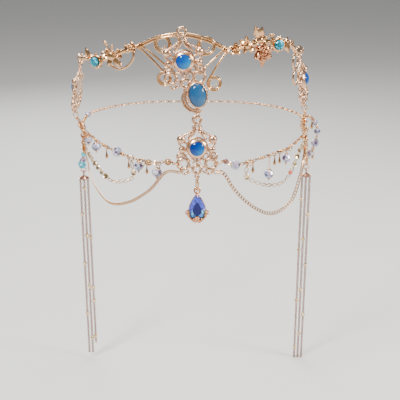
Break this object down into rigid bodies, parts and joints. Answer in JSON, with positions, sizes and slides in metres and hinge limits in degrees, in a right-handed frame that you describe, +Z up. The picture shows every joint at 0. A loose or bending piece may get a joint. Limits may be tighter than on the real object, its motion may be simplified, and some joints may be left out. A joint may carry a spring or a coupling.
{
  "type": "head chain",
  "caption": "Head chain: an openwork band with four filigree plaques, blossoms, swags of beads and fine chain, a pear drop and two long tassels.",
  "frame": {"origin": "centre of the head opening, level with the stone of the forehead plaque", "axes": "+Z up, -Y towards the forehead, +X to the wearer's left"},
  "size_m": [0.177, 0.1877, 0.2762],
  "materials": {
    "gold": "light gold plate",
    "rose_gold": "rose gold plate",
    "blue_glass": "polished",
    "pale_blue_glass": "polished",
    "turquoise_glass": "polished",
    "sapphire_glass": "polished",
    "clear_glass": "polished"
  },
  "bodies": {
    "root": {"upper_plaque": "gold", "upper_cabochon": "blue_glass", "lower_plaque": "gold", "lower_cabochon": "blue_glass", "left_plaque": "gold", "left_cabochon": "blue_glass", "right_plaque": "gold", "right_cabochon": "blue_glass", "front_arch": "gold", "left_branch": "gold", "right_branch": "gold", "left_blossom": "gold", "right_blossom": "gold", "left_spray": "gold", "right_spray": "gold", "upper_spray": "gold", "left_flower_setting": "gold", "left_flower_stone": "turquoise_glass", "right_flower_setting": "gold", "right_flower_stone": "turquoise_glass", "rose": "gold", "left_flower_leaf": "gold", "right_flower_leaf": "gold", "oval_setting": "gold", "oval_cabochon": "pale_blue_glass", "lower_jump_ring": "gold", "upper_jump_ring": "gold", "left_bead_chain": "gold", "left_bead_crystal_1": "clear_glass", "left_bead_crystal_2": "clear_glass", "left_bead_crystal_3": "clear_glass", "left_bead_crystal_4": "clear_glass", "left_bead_crystal_5": "clear_glass", "left_sequin_chain": "gold", "left_curb_chain": "gold", "right_bead_chain": "gold", "right_bead_crystal_1": "clear_glass", "right_bead_crystal_2": "clear_glass", "right_bead_crystal_3": "clear_glass", "right_sequin_chain": "gold", "right_curb_chain": "gold", "left_side_chain": "gold", "left_tassel": "rose_gold", "right_side_chain": "gold", "right_tassel": "rose_gold", "right_strand_crystal_1": "clear_glass", "right_strand_crystal_2": "clear_glass", "right_strand_crystal_3": "clear_glass", "right_strand_crystal_4": "clear_glass", "left_side_bead_1": "turquoise_glass", "left_side_bead_2": "clear_glass", "left_back_chain": "gold", "right_back_chain": "gold", "back_clasp": "gold"},
    "drop_link": {"drop_jump_ring": "gold", "drop_link": "gold"},
    "pear_drop": {"pear_setting": "rose_gold", "pear_stone": "sapphire_glass"}
  },
  "joints": [
    {"name": "drop_swing", "type": "hinge", "parent": "root", "child": "drop_link", "pos_m": [0.00004, -0.09338, -0.01918], "axis": [1, 0, 0], "range_deg": [-20, 20]},
    {"name": "pear_swing", "type": "hinge", "parent": "drop_link", "child": "pear_drop", "pos_m": [0.00004, -0.09338, -0.02688], "axis": [0, 1, 0], "range_deg": [-25, 25]}
  ]
}
